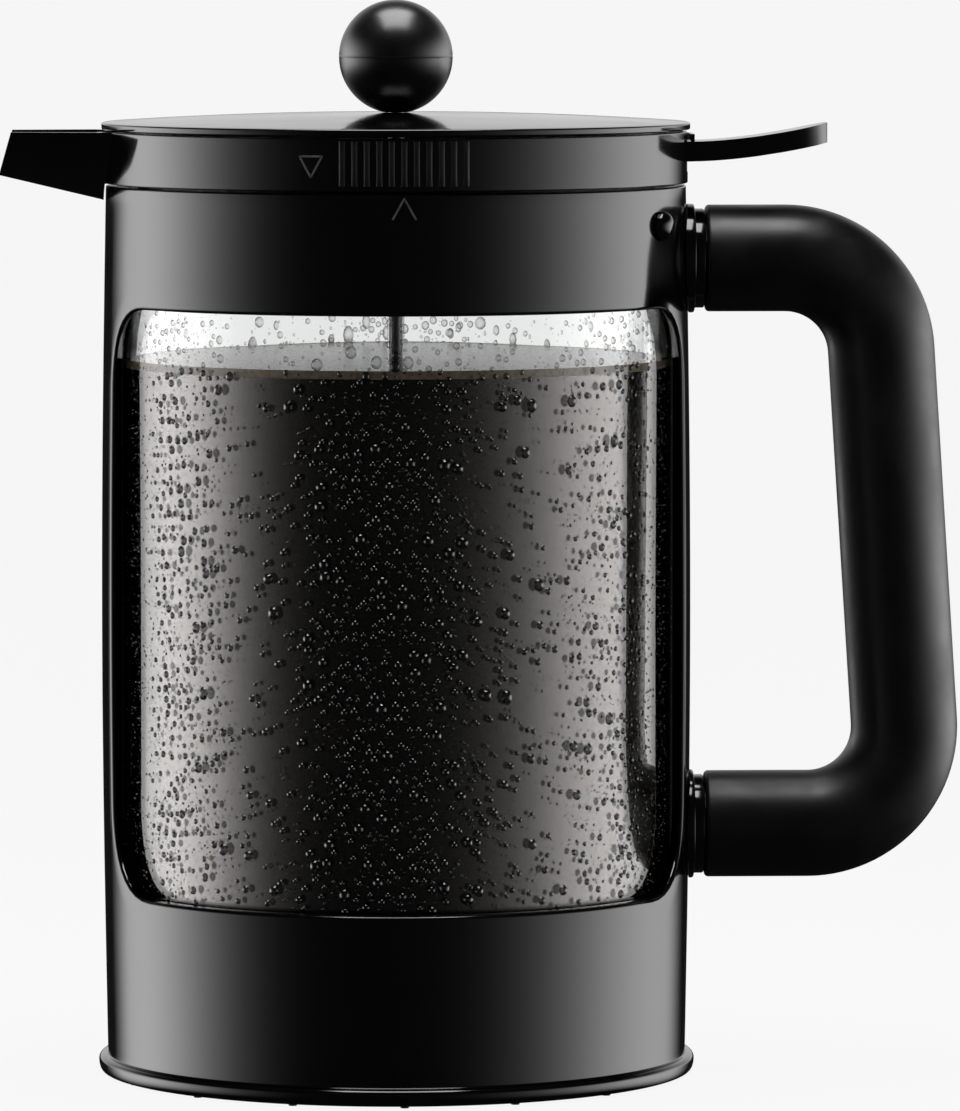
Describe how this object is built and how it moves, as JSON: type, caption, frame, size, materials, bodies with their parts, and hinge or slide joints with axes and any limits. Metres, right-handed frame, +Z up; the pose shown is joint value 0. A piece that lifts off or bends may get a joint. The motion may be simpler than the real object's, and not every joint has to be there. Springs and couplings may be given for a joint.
{
  "type": "press-style cold brew coffee maker",
  "caption": "Cold brew press pot: glass beaker in a black frame with cut-out windows, loop handle, lid with open spout and thumb lever, and a ball-knob plunger with a filter stack.",
  "frame": {"origin": "where the pot's vertical axis meets the table", "axes": "+Z up along the pot's axis; the spout points to -X; the handle and the thumb lever point to +X; the front window faces -Y"},
  "size_m": [0.2029, 0.1262, 0.2271],
  "materials": {
    "gloss_black": "polished",
    "soft_black": "soft touch, satin",
    "glass": "clear, polished",
    "steel": "satin",
    "silicone": "matte",
    "nylon": "satin moulded"
  },
  "bodies": {
    "frame_body": {"frame_shell": "gloss_black", "foot_ring": "silicone", "beaker_cushion": "silicone", "glass_beaker": "glass", "handle_grip": "soft_black", "handle_core": "nylon", "handle_collar_upper": "gloss_black", "handle_collar_lower": "gloss_black", "handle_screw_upper": "steel", "handle_screw_lower": "steel", "frame_peg_front": "gloss_black", "frame_peg_rear": "gloss_black"},
    "seal_body": {"lid_seal": "silicone"},
    "lid_body": {"lid_ring": "gloss_black", "lid_cup": "nylon", "lid_disc": "gloss_black", "rod_bushing": "silicone", "lever_pin": "steel"},
    "lever_body": {"pour_lever": "gloss_black", "lever_spring": "steel"},
    "valve_body": {"pour_valve": "silicone"},
    "plunger_body": {"plunger_knob": "gloss_black", "plunger_rod": "steel", "rod_collar": "steel", "filter_spreader": "steel", "filter_spacer": "steel", "filter_gasket": "silicone", "filter_mesh": "steel", "filter_cross_plate": "steel", "filter_nut": "steel"}
  },
  "joints": [
    {"name": "lid_lift", "type": "slide", "parent": "frame_body", "child": "seal_body", "axis": [0, 0, 1], "range_m": [0, 0.2]},
    {"name": "lid_turn", "type": "hinge", "parent": "seal_body", "child": "lid_body", "pos_m": [0, 0, 0.1815], "axis": [0, 0, 1], "range_deg": [0, 18]},
    {"name": "plunger_slide", "type": "slide", "parent": "lid_body", "child": "plunger_body", "axis": [0, 0, 1], "range_m": [0, 0.145]},
    {"name": "lever_press", "type": "hinge", "parent": "lid_body", "child": "lever_body", "pos_m": [0.04, 0, 0.1945], "axis": [0, 1, 0], "range_deg": [0, 4], "stiffness_Nm_per_rad": 0.5, "springref_deg": -11.46},
    {"name": "valve_lift", "type": "slide", "parent": "lid_body", "child": "valve_body", "axis": [0, 0, 1], "range_m": [0, 0.0054]}
  ],
  "couplings": [
    {"joint": "valve_lift", "follows": "lever_press", "m_per_rad": 0.0744}
  ]
}
